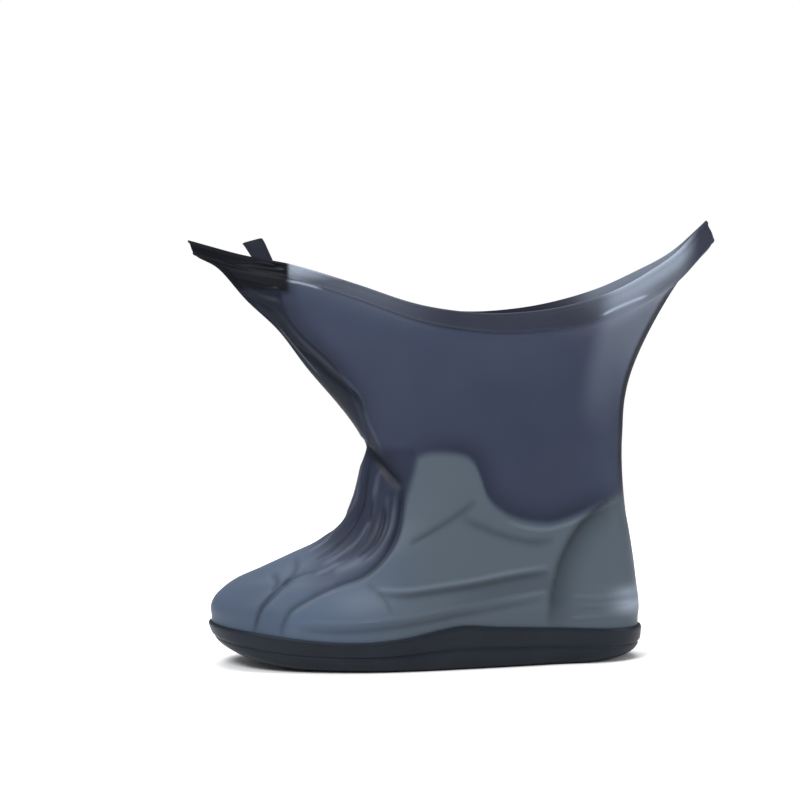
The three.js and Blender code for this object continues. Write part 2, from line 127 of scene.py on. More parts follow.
# Film over the foot: front, frontUp, back and backUp as shares of the way to the ankle, wide as a share of
# the half width, foot the share of the foot's outline, wave the share of the edge line's waves.
footRows = np.array([
    (0, 0, 0, 0, 1, 1, 1), (0.006, 0.078, 0.02, 0.09, 0.99, 1, 0.8),
    (0.043, 0.157, 0.07, 0.19, 0.97, 1, 0.55), (0.143, 0.23, 0.2, 0.29, 0.945, 1, 0.3),
    (0.302, 0.29, 0.37, 0.39, 0.91, 1, 0.12),
    (0.51, 0.37, 0.59, 0.5, 0.87, 1, 0), (0.71, 0.45, 0.82, 0.605, 0.83, 0.95, 0),
    (0.86, 0.56, 0.95, 0.71, 0.8, 0.8, 0), (0.935, 0.71, 1.02, 0.81, 0.78, 0.55, 0),
    (0.975, 0.86, 1.04, 0.905, 0.77, 0.3, 0), (1, 1, 1, 1, 0.77, 0.1, 0),
])
# Film and band of the leg: front, up, back and backUp as shares of the way to the ends of the mouth, drop as
# a share of the band's height, wide as a share of the way to the mouth's width, sag as a share of its sag,
# tip the sharpness of the two ends, aft how far the widest place lies to the back.
legRows = np.array([
    (0.125, 0.172, 0.027, 0.149, 0, 0.08, 0.07, 0.58, 1),
    (0.325, 0.375, 0.115, 0.291, 0, 0.2, 0.2, 0.72, 1.05),
    (0.49, 0.56, 0.292, 0.454, 0, 0.38, 0.39, 0.88, 1.13),
    (0.675, 0.71, 0.54, 0.631, 0, 0.58, 0.6, 1.02, 1.23),
    (0.83, 0.86, 0.752, 0.752, 0, 0.78, 0.81, 1.12, 1.33),
    (1, 1, 1, 1, 1, 0.93, 1, 1.18, 1.4), (1, 1, 1, 1, 0, 1, 1, 1.2, 1.45),
])
# How the rim hangs between its two ends: place, share of the sag.
sagLine = np.array([
    (0, 0), (0.1, 0.195), (0.2, 0.345), (0.31, 0.59), (0.42, 0.85), (0.52, 0.975),
    (0.6, 1), (0.7, 0.945), (0.8, 0.79), (0.88, 0.565), (0.94, 0.35), (1, 0),
])


def mix(a, b, share):
    # Weighted mean: a where the share is 0, b where it is 1.
    return a + (b - a) * share


def easeIn(value, low, high):
    # 0 below low, 1 above high, and smooth between them.
    share = np.clip((value - low) / (high - low), 0, 1)
    return share * share * (3 - 2 * share)


def between(value, rise, fall):
    # 1 between two ranges, up from 0 over the first and down to 0 again over the second.
    return easeIn(value, *rise) * (1 - easeIn(value, *fall))


def bell(value, middle, half):
    # Bell curve: 1 in the middle, and 1/e at the half width to both sides.
    return np.exp(-((value - middle) / half) ** 2)


def smooth(places, values, at):
    # Cubic between two rows of a table, with slopes taken from the rows beside them.
    count = len(places)
    before = np.maximum(np.arange(count) - 1, 0)
    after = np.minimum(np.arange(count) + 1, count - 1)
    apart = (places[after] - places[before]).reshape((-1,) + (1,) * (values.ndim - 1))
    slopes = (values[after] - values[before]) / apart
    i = np.clip(np.searchsorted(places, at, side="right") - 1, 0, count - 2)
    span = places[i + 1] - places[i]
    t = np.clip((at - places[i]) / span, 0, 1)
    if values.ndim > 1:
        span, t = span[..., None], t[..., None]
    rest = 1 - t
    bend = span * t * rest * (slopes[i] * rest - slopes[i + 1] * t)
    return values[i] * rest * rest * (1 + 2 * t) + values[i + 1] * t * t * (1 + 2 * rest) + bend


def edgeHeight(along):
    # Height of the sole's edge: its share at the place times the full height.
    return sole["height"] * smooth(edgeLine[:, 0], edgeLine[:, 1], along)


def footHalf(along, turn):
    # Half width of the foot by its plan, at a turn round it: 0 at the toe, pi at the heel, and past pi on the
    # outer side, where the sine is negative.
    outer = smooth(footPlan[:, 0], footPlan[:, 1], along)
    inner = smooth(footPlan[:, 0], footPlan[:, 2], along)
    return sole["width"] * np.where(np.sin(turn) < 0, outer, inner)


def alongOf(turn):
    # Share of the length at a turn round the cover: half of one less the turn's cosine.
    return (1 - np.cos(turn)) / 2


def solePoint(up, inset, turn, lift=0.0):
    # Side of the sole: its length and width set in row by row, its height between the underside and the edge.
    along = alongOf(turn)
    front, back, side = np.moveaxis(smooth(soleRows[:, 3], soleRows[:, :3], up), -1, 0)
    x = mix(sole["toe"] + front * sole["length"] + inset, sole["heel"] - back * sole["length"] - inset, along)
    y = (side * footHalf(along, turn) - inset) * np.sin(turn)
    rising = np.clip((sole["toe"] + sole["springLength"] - x) / sole["springLength"], 0, 1)
    z = mix(sole["toeSpring"] * rising ** 2, edgeHeight(along), up) + lift
    return np.stack(np.broadcast_arrays(x, y, z), -1)


def filmSections():
    # One row of values for each section, the tables' shares mixed between the driving sizes, in mm.
    inset = sole["wall"] + film["clearance"]
    edges = edgeHeight(np.array([0.0, 1.0]))
    foot = footRows.T
    leg = legRows.T
    ones = np.ones(len(footRows))
    lower = np.stack([
        mix(sole["toe"] + inset, film["ankleFront"], foot[0]),
        mix(edges[0], film["ankleFrontHeight"], foot[1]),
        mix(sole["heel"] - inset, film["ankleBack"], foot[2]),
        mix(edges[1], film["ankleBackHeight"], foot[3]),
        foot[4], foot[5], foot[6], ones * film["ankleWidth"] / 2, ones * 0, ones * 0.5, ones,
    ], -1)
    ones = np.ones(len(legRows))
    upper = np.stack([
        mix(film["ankleFront"], mouth["front"], leg[0]) + leg[4] * mouth["lean"],
        mix(film["ankleFrontHeight"], mouth["frontHeight"], leg[1]) - leg[4] * mouth["bandFrontHeight"],
        mix(film["ankleBack"], mouth["back"], leg[2]) + leg[4] * mouth["lean"],
        mix(film["ankleBackHeight"], mouth["backHeight"], leg[3]) - leg[4] * mouth["bandHeight"],
        ones * footRows[-1, 4], ones * 0, ones * 0, mix(film["ankleWidth"], mouth["width"], leg[5]) / 2,
        leg[6] * mouth["sag"], leg[7], leg[8],
    ], -1)
    return np.concatenate([lower, upper])


sections = filmSections()
rimRow = len(sections) - 1
bandRow = rimRow - 1
legStart = len(footRows) - 1


def sectionAt(row):
    # Values of the film's section at a row, smooth between the rows of the table, each under its name.
    found = smooth(np.arange(len(sections), dtype=float), sections, row)
    names = ("frontX", "frontZ", "backX", "backZ", "wide", "foot", "wave", "half", "sag", "tip", "aft")
    return dict(zip(names, np.moveaxis(found, -1, 0)))


def placeIn(section, x):
    # Share of the section's length at x, kept between its front and its back.
    return np.clip((x - section["frontX"]) / (section["backX"] - section["frontX"]), 0, 1)


def halfAt(section, along, turn):
    # Half width: the foot's outline low down, a swell with ever sharper ends in the leg.
    rounded = 2 * np.sqrt(np.maximum(along * (1 - along), 0))
    inset = sole["wall"] + film["clearance"]
    foot = (section["wide"] * footHalf(along, turn) - inset) * rounded
    swell = np.maximum(np.sin(math.pi * along ** section["aft"]), 0)
    leg = np.maximum(section["half"] * swell ** section["tip"], film["wall"] * np.sqrt(rounded))
    return mix(leg, foot, section["foot"])


def heightAt(section, along):
    # Straight line from the section's front to its back, plus the sole edge's waves, less the rim's sag.
    ends = edgeHeight(np.array([0.0, 1.0]))
    waves = edgeHeight(along) - mix(ends[0], ends[1], along)
    sag = section["sag"] * smooth(sagLine[:, 0], sagLine[:, 1], along)
    return mix(section["frontZ"], section["backZ"], along) + section["wave"] * waves - sag


def filmPoint(row, turn):
    # Smooth film before its folds, for arrays of rows and turns of one shape.
    section = sectionAt(row)
    along = alongOf(turn)
    side = np.sign(np.round(np.sin(turn), 9))
    return np.stack([
        mix(section["frontX"], section["backX"], along),
        side * halfAt(section, along, turn),
        heightAt(section, along),
    ], -1)


def legShare(row):
    # 0 on the foot, 1 in the leg, and rising evenly over the rows between them.
    return np.clip((row - legStart) / film["legBlend"], 0, 1)


def outward(row, turn):
    # Cross product of the way up and the way round; level in the leg.
    step = film["normalStep"]
    across = filmPoint(row, turn + step) - filmPoint(row, turn - step)
    above = filmPoint(np.minimum(row + step, rimRow), turn) - filmPoint(np.maximum(row - step, 0), turn)
    out = np.cross(above, across)
    out /= np.linalg.norm(out, axis=-1, keepdims=True) + tiny
    out[..., 2] *= 1 - legShare(row)
    return out / (np.linalg.norm(out, axis=-1, keepdims=True) + tiny)


def sidePoints(x, z, turn):
    # Points of the film at x and z in the side view, their rows found by halving. The turn picks the side,
    # and both sides are given at negative y.
    low, high = np.zeros_like(x), np.full_like(x, rimRow)
    for _ in range(film["halvings"]):
        middle = (low + high) / 2
        section = sectionAt(middle)
        below = heightAt(section, placeIn(section, x)) < z
        low, high = np.where(below, middle, low), np.where(below, high, middle)
    section = sectionAt(low)
    return np.stack([x, -halfAt(section, placeIn(section, x), np.full_like(x, turn)), z], -1)


# Where the film of the foot, drawn tight, meets the looser film of the leg, as x and z in mm.
ankleLine = [(-14, 135), (-8, 138.5), (-1, 140.5), (10, 140.5), (18, 139.5), (23, 137), (27, 132),
             (30, 124.5), (35, 111.5), (47, 101), (62, 95.6), (78, 94), (94, 98), (111, 105.5), (126, 111)]

# Folds of the film in the side view. Each row: form, half width and rise in mm, and points as x and z in mm.
# A ridge stands between two shallow troughs, a crease is a sharp valley, and a step lifts the film on the
# left of its way.
folds = [
    # the crease from the ankle round the instep to the toe
    ("crease", 3.4, -1.7, [(-45, 146), (-34, 133), (-25, 123), (-20, 118)]),
    ("crease", 1.7, -1.5, [(-20, 119), (-21, 107), (-24, 90), (-33, 74), (-47, 62), (-66, 55)]),
    ("crease", 1.6, -0.9, [(-58, 58), (-72, 52), (-84, 46), (-93, 40), (-98, 32), (-100, 24)]),
    ("ridge", 4.6, 0.8, [(-27, 112), (-28, 96), (-36, 81), (-50, 70), (-66, 64)]),
    # instep wrinkles, fanned out from the ankle to the toe flex
    ("ridge", 2.4, 1.0, [(-42, 138), (-45, 122), (-48, 107), (-56, 93), (-68, 81), (-80, 74)]),
    ("crease", 1.9, -1.3, [(-39, 134), (-42, 118), (-45, 103), (-53, 89), (-65, 78), (-77, 71)]),
    ("ridge", 2.2, 0.9, [(-34, 128), (-37, 112), (-40, 98), (-48, 84), (-61, 74), (-73, 68)]),
    ("crease", 1.8, -1.2, [(-37, 112), (-40, 99), (-43, 89), (-52, 77), (-64, 69)]),
    ("ridge", 2.0, 0.8, [(-40, 96), (-46, 84), (-56, 74), (-68, 66), (-78, 62)]),
    ("crease", 1.7, -1.0, [(-32, 104), (-33, 94), (-39, 82), (-50, 73)]),
    ("crease", 1.6, -0.9, [(-27, 114), (-28, 102), (-31, 90), (-38, 79), (-48, 70)]),
    # short creases on top of the toe, and the arc behind the toe
    ("crease", 1.9, -0.9, [(-88, 71), (-90, 65), (-94, 59), (-98, 55)]),
    ("crease", 1.9, -0.9, [(-104, 62), (-102, 57), (-104, 52)]),
    ("crease", 1.5, -1.2, [(-117, 25), (-115, 32), (-111, 42), (-103, 51), (-94, 59), (-84, 63), (-76, 65)]),
    # slanted crease up to the ankle line, and a soft one along under that line
    ("crease", 2.4, -0.8, [(-17, 81), (-6, 87), (4, 93), (15, 100), (27, 109)]),
    ("crease", 2.8, -0.7, [(17, 98), (30, 92), (48, 85), (65, 81), (80, 82)]),
    # ankle line
    ("step", 2.2, -0.8, ankleLine),
    ("ridge", 1.7, 0.6, [(48, 95), (59, 91), (73, 89), (90, 92), (104, 98), (116, 103), (126, 106)]),
    # heel arc
    ("step", 3.0, -0.9, [(125, 109), (115, 106), (105, 100), (97, 92), (90, 82), (84, 70), (80, 57), (77, 42),
                         (76, 25)]),
    ("crease", 2.5, -0.7, [(123, 108), (113, 104), (104, 97), (96, 89), (89, 79), (83, 67), (79, 55), (76, 41),
                           (75, 26)]),
    # side bands
    ("ridge", 1.8, 0.7, [(-42, 54), (-20, 53), (0, 55), (25, 58), (50, 62), (76, 65)]),
    ("crease", 2.2, -0.9, [(-40, 50), (-20, 49), (0, 51), (25, 54), (50, 58), (76, 61)]),
    ("ridge", 1.7, 1.1, [(-88, 33), (-60, 32), (-32, 34), (-8, 37), (16, 41), (46, 45), (74, 49)]),
    ("crease", 2.2, -0.7, [(-90, 28), (-60, 27), (-32, 29), (-8, 32), (16, 36), (46, 40), (74, 44)]),
    ("crease", 1.5, -0.6, [(-45, 57), (-35, 49), (-29, 37)]),
    # heel ridges
    ("ridge", 1.6, 0.9, [(92, 45), (112, 44), (136, 45)]),
    ("ridge", 1.6, 1.0, [(92, 38), (114, 38), (138, 39)]),
    ("ridge", 1.5, 0.8, [(90, 31), (114, 32), (139, 33)]),
    # doubled strip of film along the front edge of the leg
    ("step", 2.2, -0.9, [(-93, 254), (-95, 238), (-86, 220), (-63, 196), (-49, 173), (-43, 154), (-36, 135),
                         (-24, 120)]),
    ("crease", 1.6, -1.6, [(-96, 222), (-90, 211), (-75, 199), (-66, 190), (-56, 182), (-48, 174),
                           (-43, 164)]),
    ("crease", 1.6, -1.4, [(-58, 166), (-50, 155), (-43, 146), (-38, 139)]),
    ("ridge", 1.9, 0.7, [(-100, 232), (-84, 213), (-70, 200), (-58, 189), (-48, 178), (-40, 158), (-30, 137)]),
    # gathered layers at the front end of the mouth
    ("step", 1.4, -1.0, [(-92, 266), (-91, 262), (-91, 257), (-92, 251), (-95, 243)]),
    ("crease", 1.3, -1.3, [(-134, 262), (-122, 262), (-108, 261), (-94, 259)]),
    ("ridge", 1.6, 1.3, [(-134, 258), (-120, 257), (-107, 255), (-94, 253)]),
    ("crease", 1.3, -1.3, [(-130, 254), (-118, 251), (-106, 248), (-96, 247)]),
    ("ridge", 1.6, 1.3, [(-127, 249), (-116, 244), (-106, 240), (-97, 238)]),
    ("crease", 1.3, -1.1, [(-120, 240), (-110, 236), (-101, 231)]),
]
foldForm = dict(
    pieces=6,  # of its line for each given point
    reach=3.2, stepReach=9,  # half widths to both sides that a fold, and a step, can change
    stepRise=1.6,  # how steeply a step rises
    stepRun=2.2,  # it runs out over one part in this many of its reach
    creaseFall=1.1, creasePower=1.6,
    taper=6,  # the ends run out over one part in this many of the length
    ridgeFrom=9,  # mm from the middle line, where ridges have their full height
)
# Slow waves of the stretched film: strength, mm for each radian along x and along z, and start in radians.
slowWaves = [(1, 17, 23, 0), (0.8, 31, -19, 1.3), (0.6, 11, 37, 0.7)]


def bend(points, steps):
    # Smooth line through given points, by their distance along the straight lines between them.
    points = np.array(points, float)
    places = np.concatenate([[0], np.cumsum(np.linalg.norm(np.diff(points, axis=0), axis=1))])
    return smooth(places, points, np.linspace(0, places[-1], steps))


def foldSum(near, turn):
    # Sum of all folds at points of one side of the smooth film, held at negative y. A fold's lift follows the
    # distance from its line in half widths: a bell times one less half the distance squared for a ridge, a
    # narrow bell for a crease, and half of one plus a signed hyperbolic tangent, under a bell, for a step.
    height = np.zeros(len(near))
    for form, half, rise, way in folds:
        flat = bend(way, foldForm["pieces"] * len(way))
        line = sidePoints(flat[:, 0], flat[:, 1], turn)
        reach = half * foldForm["stepReach" if form == "step" else "reach"]
        close = np.all((near > line.min(0) - reach) & (near < line.max(0) + reach), axis=1)
        spot = near[close]
        best = np.full(len(spot), np.inf)
        share = np.zeros(len(spot))
        side = np.zeros(len(spot))
        for i in range(len(line) - 1):
            ahead = line[i + 1] - line[i]
            t = np.clip((spot - line[i]) @ ahead / (ahead @ ahead), 0, 1)
            gap = spot - line[i] - t[:, None] * ahead
            far = np.linalg.norm(gap, axis=1)
            nearer = far < best
            best[nearer] = far[nearer]
            share[nearer] = (i + t[nearer]) / (len(line) - 1)
            side[nearer] = np.sign(ahead[0] * gap[nearer, 2] - ahead[2] * gap[nearer, 0])
        taper = np.sqrt(np.clip(np.minimum(share, 1 - share) * foldForm["taper"], 0, 1))
        q = best / half
        middle = 1
        if form == "ridge":
            lift = (1 - 0.5 * q * q) * np.exp(-q * q)
            middle = easeIn(-spot[:, 1], 0, foldForm["ridgeFrom"])
        elif form == "crease":
            lift = np.exp(-foldForm["creaseFall"] * q ** foldForm["creasePower"])
        else:
            rising = 0.5 * (1 + side * np.tanh(foldForm["stepRise"] * q))
            lift = rising * bell(best, 0, reach / foldForm["stepRun"])
        height[close] += rise * lift * taper * middle
    return height


def reliefOf(points):
    # Folds at points of the smooth film. The far side carries the near side's folds, set a little apart.
    flat = points.reshape(-1, 3)
    paintedHighlightSpots = np.stack([flat[:, 0], -np.abs(flat[:, 1]), flat[:, 2]], -1)
    far = easeIn(flat[:, 1], *film["farBlend"])
    height = np.zeros(len(paintedHighlightSpots))
    for share, turn, shift in ((1 - far, -math.pi / 2, (0, 0, 0)), (far, math.pi / 2, film["farShift"])):
        seen = share > 0
        height[seen] += share[seen] * foldSum(paintedHighlightSpots[seen] + shift, turn)
    return height.reshape(points.shape[:-1])


def billow(points, row):
    # Sum of the slow waves, more in the leg than on the foot, and the swell with which the film leaves the
    # sole's edge, a bell over the lowest rows.
    x, z = points[..., 0], points[..., 2]
    waves = sum(rise * np.sin(x / wide + z / tall + start) for rise, wide, tall, start in slowWaves)
    swell = film["swell"] * bell(row, film["swellRow"], film["swellRows"])
    return film["billow"] * waves * easeIn(z, *film["billowHeight"]) + swell


def solidEnd(row, depth, fromFront):
    # Length of the solid end of a section, where its two walls are pressed together.
    section = {key: value[:, None] for key, value in sectionAt(row).items()}
    shares = np.arange(0, 0.5, film["endStep"])[None, :]
    half = halfAt(section, shares if fromFront else 1 - shares, np.array(-math.pi / 2))
    narrow = half < depth + film["clearance"]
    first = np.where(narrow.all(1), 0.5, shares[0][np.argmin(narrow, axis=1)])
    length = (section["backX"] - section["frontX"])[:, 0]
    return np.maximum(first * length, film["endLeast"] * depth)


def behindEnd(distance, solid):
    # Distance of an inner point from its end: the outer one's from twice the solid length on, and under that
    # a parabola down to the solid length.
    return np.where(distance < 2 * solid, solid + distance ** 2 / (4 * solid), distance)


def wallPoint(rows, turns, depth, rise=0.0):
    # Smooth film plus its folds along the outward way, a depth below its outer face: straight inwards on the
    # foot, level in the leg. Rise, one value a ring, lifts it off the face.
    row, turn = (grid.copy() for grid in np.broadcast_arrays(rows[:, None], turns[None, :]))
    surface = filmPoint(row, turn)
    out = outward(row, turn)
    off = np.abs(surface[..., 1])
    heel = np.where(alongOf(turn) > 0.5, np.minimum(1, off / film["heelFade"]), 1)
    fade = np.minimum(1, row) * mix(heel, np.minimum(1, off / film["endFade"]), legShare(row))
    folded = (reliefOf(surface) + billow(surface, row)) * fade
    shift = out * (folded + np.reshape(rise, (-1, 1)) * np.ones_like(row))[..., None]
    if depth == 0:
        return surface + shift
    offset = surface - out * depth
    section = sectionAt(row)
    front = behindEnd(surface[..., 0] - section["frontX"], solidEnd(rows, depth, True)[:, None])
    back = behindEnd(section["backX"] - surface[..., 0], solidEnd(rows, depth, False)[:, None])
    x = np.where(alongOf(turn) < 0.5, section["frontX"] + front, section["backX"] - back)
    along = (x - section["frontX"]) / (section["backX"] - section["frontX"])
    least = film["clearance"] / 2 * np.abs(np.sin(turn))
    y = np.sign(surface[..., 1]) * np.maximum(halfAt(section, along, turn) - depth, least)
    leg = np.stack([x, y, heightAt(section, along)], -1)
    return mix(offset, leg, legShare(row)[..., None]) + shift


def ringTurns(columns):
    # Turns round a ring: a smaller share of the points for the inner side, and more for the outer one.
    share = np.arange(columns) / columns
    inner = film["innerShare"]
    return np.where(share < inner, share / inner, 1 + (share - inner) / (1 - inner)) * math.pi


def quads(ringCount, columns, start=0):
    # Faces between rings that run from low to high on the outer face.
    ringStart = start + np.arange(ringCount - 1)[:, None] * columns
    low = ringStart + np.arange(columns)[None, :]
    following = ringStart + (np.arange(columns)[None, :] + 1) % columns
    return np.stack([low, low + columns, following + columns, following], -1).reshape(-1, 4)


def joinRings(fine, coarse, fineIsLow):
    # Five-sided faces between a ring and one of half as many points.
    count = len(coarse)
    a, b, c = fine[0::2], fine[1::2], np.roll(fine, -2)[0::2]
    d, e = coarse, np.roll(coarse, -1)
    order = [a, d, e, c, b] if fineIsLow else [d, a, b, c, e]
    return np.stack(order, -1).reshape(count, 5)


def meshObject(name, points, faces, sharpAngle=50):
    # Mesh of points in mm and groups of faces, smooth up to the sharp angle between two faces, in degrees.
    mesh = bpy.data.meshes.new(name)
    mesh.from_pydata((points * mm).tolist(), [], [face for group in faces for face in group.tolist()])
    mesh.polygons.foreach_set("use_smooth", np.ones(len(mesh.polygons), bool))
    mesh.set_sharp_from_angle(angle=math.radians(sharpAngle))
    mesh.validate()
    piece = bpy.data.objects.new(name, mesh)
    bpy.context.scene.collection.objects.link(piece)
    return piece


def shell(name, outer, inner, lowClosed=False):
    # Closed wall from rings of an outer face, low to high, and an inner face of half as many columns. With
    # lowClosed, the lowest rings are folded onto a middle line, and no faces join them.
    rings, columns = outer.shape[:2]
    innerRings, innerColumns = inner.shape[:2]
    start = rings * columns
    faces = [quads(rings, columns), quads(innerRings, innerColumns, start)]
    faces.append(joinRings(np.arange(columns) + (rings - 1) * columns, start + np.arange(innerColumns), True))
    if not lowClosed:
        lowest = start + (innerRings - 1) * innerColumns + np.arange(innerColumns)
        faces.append(joinRings(np.arange(columns), lowest, False))
    return meshObject(name, np.concatenate([outer.reshape(-1, 3), inner[::-1].reshape(-1, 3)]), faces)


def addValue(piece, name, values):
    # One number for each point, under the name by which a material reads it.
    layer = piece.data.attributes.new(name, "FLOAT", "POINT")
    layer.data.foreach_set("value", np.asarray(values, np.float32).ravel())


def makeFilm():
    # A skirt behind the sole's edge, then every row of the film up to the foot of the band, outside and, half
    # as fine, inside.
    inset = sole["wall"] + film["clearance"]
    walls = []
    for depth, coarser in ((0, 1), (film["wall"], 2)):
        turns = ringTurns(film["columns"] // coarser)
        skirt = solePoint(np.full((1, len(turns)), skirtUp), inset + depth, turns[None, :])
        footPart = np.linspace(0, legStart, film["footRings"] // coarser, endpoint=False)
        legPart = np.linspace(legStart, bandRow, film["legRings"] // coarser + 1)
        walls.append(np.concatenate([skirt, wallPoint(np.concatenate([footPart, legPart]), turns, depth)]))
    return shell("coverFilm", *walls)


def makeBand():
    # Rib, flat and bead outside and a plain inside, carried along the last row of the film.
    profile = np.array([(0, 0.12), (0.05, 0.75), (0.12, 1), (0.19, 0.75), (0.25, 0.2), (0.5, 0.12),
                        (0.78, 0.2), (0.84, 0.7), (0.9, 1), (0.96, 0.9), (1, 0.4)])
    places = np.linspace(0, 1, mouth["rings"])
    lift = smooth(profile[:, 0], profile[:, 1], places) * mouth["rib"]
    foot = bandRow - mouth["overlap"]
    outer = wallPoint(mix(foot, rimRow, places), ringTurns(film["columns"]), 0, lift)
    innerRows = mix(foot, rimRow, np.linspace(0, 1, mouth["innerRings"]))
    inner = wallPoint(innerRows, ringTurns(film["columns"] // 2), mouth["wall"])
    return shell("rimBand", outer, inner)


tab = dict(
    x=-107, width=13, height=14, frontHeight=10.5, sink=3, lean=8, thickness=2,  # mm
    cornerDrop=0.6, cup=1.2,  # mm, how far its top corners drop, and twice how far its middle bulges
    topShare=0.55, sideLoss=0.6,  # shares of the thickness, left at the top and lost at the sides
    cells=(16, 20),
)


def makeTab():
    # A leaf between its foot on the rim and its slanted top, bulged like a folded end of film.
    rim = sectionAt(np.array([float(rimRow)]))
    place = placeIn(rim, np.array([tab["x"]]))
    ends = placeIn(rim, np.array([-0.5, 0.5]) * tab["width"] + tab["x"])
    middleHeight = heightAt(rim, place)[0]
    turn = np.array(-math.pi / 2)
    middleY = -halfAt(rim, place, turn)[0]
    endHeights = heightAt(rim, ends) - middleHeight
    endY = -halfAt(rim, ends, turn)
    across = np.linspace(0, 1, tab["cells"][0] + 1)[:, None]
    up = np.linspace(0, 1, tab["cells"][1] + 1)[None, :]
    footHeight = mix(endHeights[0], endHeights[1], across) - tab["sink"]
    topHeight = mix(tab["frontHeight"], tab["height"], across)
    corner = 1 - (2 * np.abs(across - 0.5)) ** 8 * easeIn(up, 0.8, 1) * tab["cornerDrop"] / tab["height"]
    x = (across - 0.5) * tab["width"] - tab["lean"] * up
    z = mix(footHeight, topHeight, up * corner)
    thinning = 1 - tab["sideLoss"] * (2 * np.abs(across - 0.5)) ** 6
    thick = tab["thickness"] * mix(1, tab["topShare"], up) * thinning
    bulge = tab["cup"] * np.sin(math.pi * across) * up * (1 - up) * 2
    tilt = (endY[1] - endY[0]) / tab["width"]
    layers = []
    for side in (-1, 1):
        y = middleY + tilt * x + tab["thickness"] / 2 + side * thick / 2 - bulge
        layers.append(np.stack(np.broadcast_arrays(x + tab["x"], y, z + middleHeight), -1))
    wide, tall = tab["cells"][0] + 1, tab["cells"][1] + 1
    index = np.arange(wide * tall).reshape(wide, tall)
    front = np.stack([index[:-1, :-1], index[1:, :-1], index[1:, 1:], index[:-1, 1:]], -1).reshape(-1, 4)
    back = front[:, ::-1] + wide * tall
    border = np.concatenate([index[:-1, 0], index[-1, :-1], index[:0:-1, -1], index[0, :0:-1]])
    following = np.roll(border, -1)
    sides = np.stack([following, border, border + wide * tall, following + wide * tall], -1)
    points = np.concatenate([layer.reshape(-1, 3) for layer in layers])
    return meshObject("rimTab", points, [front, back, sides], 40)


def makeSole():
    # Flat underside, rounded lower edge, grooved side, rounded top edge, then the inside down to the floor.
    turns = ringTurns(sole["columns"])[None, :]
    ups = np.linspace(0, 1, sole["outerRings"]) ** sole["ringPower"]
    groove = sole["groove"] * bell(ups, sole["grooveUp"], sole["grooveHalf"])
    edge = sole["edgeRound"] * np.maximum((ups - sole["roundUp"]) / (1 - sole["roundUp"]), 0) ** 3
    outside = solePoint(ups[:, None], (groove + edge)[:, None], turns)
    innerUps = np.array(sole["innerUps"])
    lift = sole["base"] * np.maximum(1 - innerUps / skirtUp, 0) ** 2
    halfTurns = ringTurns(sole["columns"] // 2)[None, :]
    inside = solePoint(innerUps[:, None], sole["wall"], halfTurns, lift[:, None])
    shares = np.linspace(0, 1, sole["underRings"] + 1)[:-1, None, None]
    under = mix(outside[:1] * [1, 0, 1], outside[:1], shares)
    floor = mix(inside[:1] * [1, 0, 1], inside[:1], shares)
    piece = shell("soleMoulding", np.concatenate([under, outside]), np.concatenate([floor, inside]), True)
    work = bmesh.new()  # joins the points on the two middle lines
    work.from_mesh(piece.data)
    bmesh.ops.remove_doubles(work, verts=work.verts, dist=1e-6)
    work.to_mesh(piece.data)
    work.free()
    return piece


filmPiece = makeFilm()
print("film:", len(filmPiece.data.polygons), "faces")
bandPiece = makeBand()
tabPiece = makeTab()
print("band and tab:", len(bandPiece.data.polygons) + len(tabPiece.data.polygons), "faces")
solePiece = makeSole()
print("sole:", len(solePiece.data.polygons), "faces")


def lineAt(points, places, column=0):
    # Value of the other coordinate of a given line at a place along the first one.
    points = np.array(points, float)
    points = points[np.argsort(points[:, column])]
    return smooth(points[:, column], points[:, 1 - column], places)


# Lines of the side view that part the film's shades, as x and z in mm.
zones = dict(
    # the film is drawn tight behind this line and under the ankle line
    creaseLine=[(-11, 150), (-12, 134), (-16, 119), (-19.5, 107), (-24, 87), (-33, 74), (-47, 62), (-66, 55),
                (-79, 49), (-88, 44), (-96, 38), (-100, 23), (-101, 0)],
    # inner border of the doubled strip on the front edge of the leg
    stripLine=[(-92, 300), (-92, 249), (-95, 238), (-85, 219), (-62, 196), (-49, 173), (-43, 154), (-36, 134),
               (-23, 119)],
    gatherRight=-92,
    # the darker band along the side, between these two lines
    bandTop=[(-42, 51), (-20, 50), (0, 52), (25, 55), (50, 59), (76, 62)],
    bandFoot=[(-88, 31), (-60, 30), (-32, 32), (-8, 35), (16, 39), (46, 43), (76, 47)],
    # the stretched corner at the back end of the mouth, clearer, with painted highlights, from the first point
    # to the second
    stretchFrom=(108, 202), stretchTo=(166, 264),
)
# Where each shade comes in: mm from its line, or along x or z, for the toe and the front end along -x. Of two
# ranges, the second is where it ends.
ranges = dict(
    behind=(-2, 4), ankle=(-2.5, 5), toe=(56, 88), toeTone=(0, 80), lowFilm=(54, 92),
    strip=(-1, 2), stripHeight=(108, 150), gather=(-1.1, 1.5), gatherHeight=(240, 246),
    instepHeight=((62, 84), (138, 150)), instepLength=(-84, -62),
    sideFoot=(1.5, 4), sideTop=(-1, 1), sideLength=((-10, 36), (72, 80)),
    backEdge=(-7, -3), backHeight=((100, 128), (236, 262)),
    lowLegShade=(130, 250), lowLegBack=(90, 122), toeEnd=(88, 118),
    stretch=(0, 1.05), stretchEnd=(0.4, 1),  # shares of the way across the stretched corner
    backTip=(166, 184), backFoot=(7, 15), backFootLength=(128, 152),
    wedgeHeight=(247, 260), wedgeLength=(10, 84), frontRim=(-10, 40),
    corner=(102, 119), cornerHeight=(145, 212),
)
# How strongly each zone darkens: doubled or bunched film in the strip, the gather and over the instep, a
# darker band along the side, painted shade along the back edge of the leg and low in the leg, and a darker end
# of the toe.
darkening = dict(strip=0.8, gather=1, instep=0.5, sideBand=0.2, backEdge=0.8, lowLegShade=0.24, toeEnd=0.12)
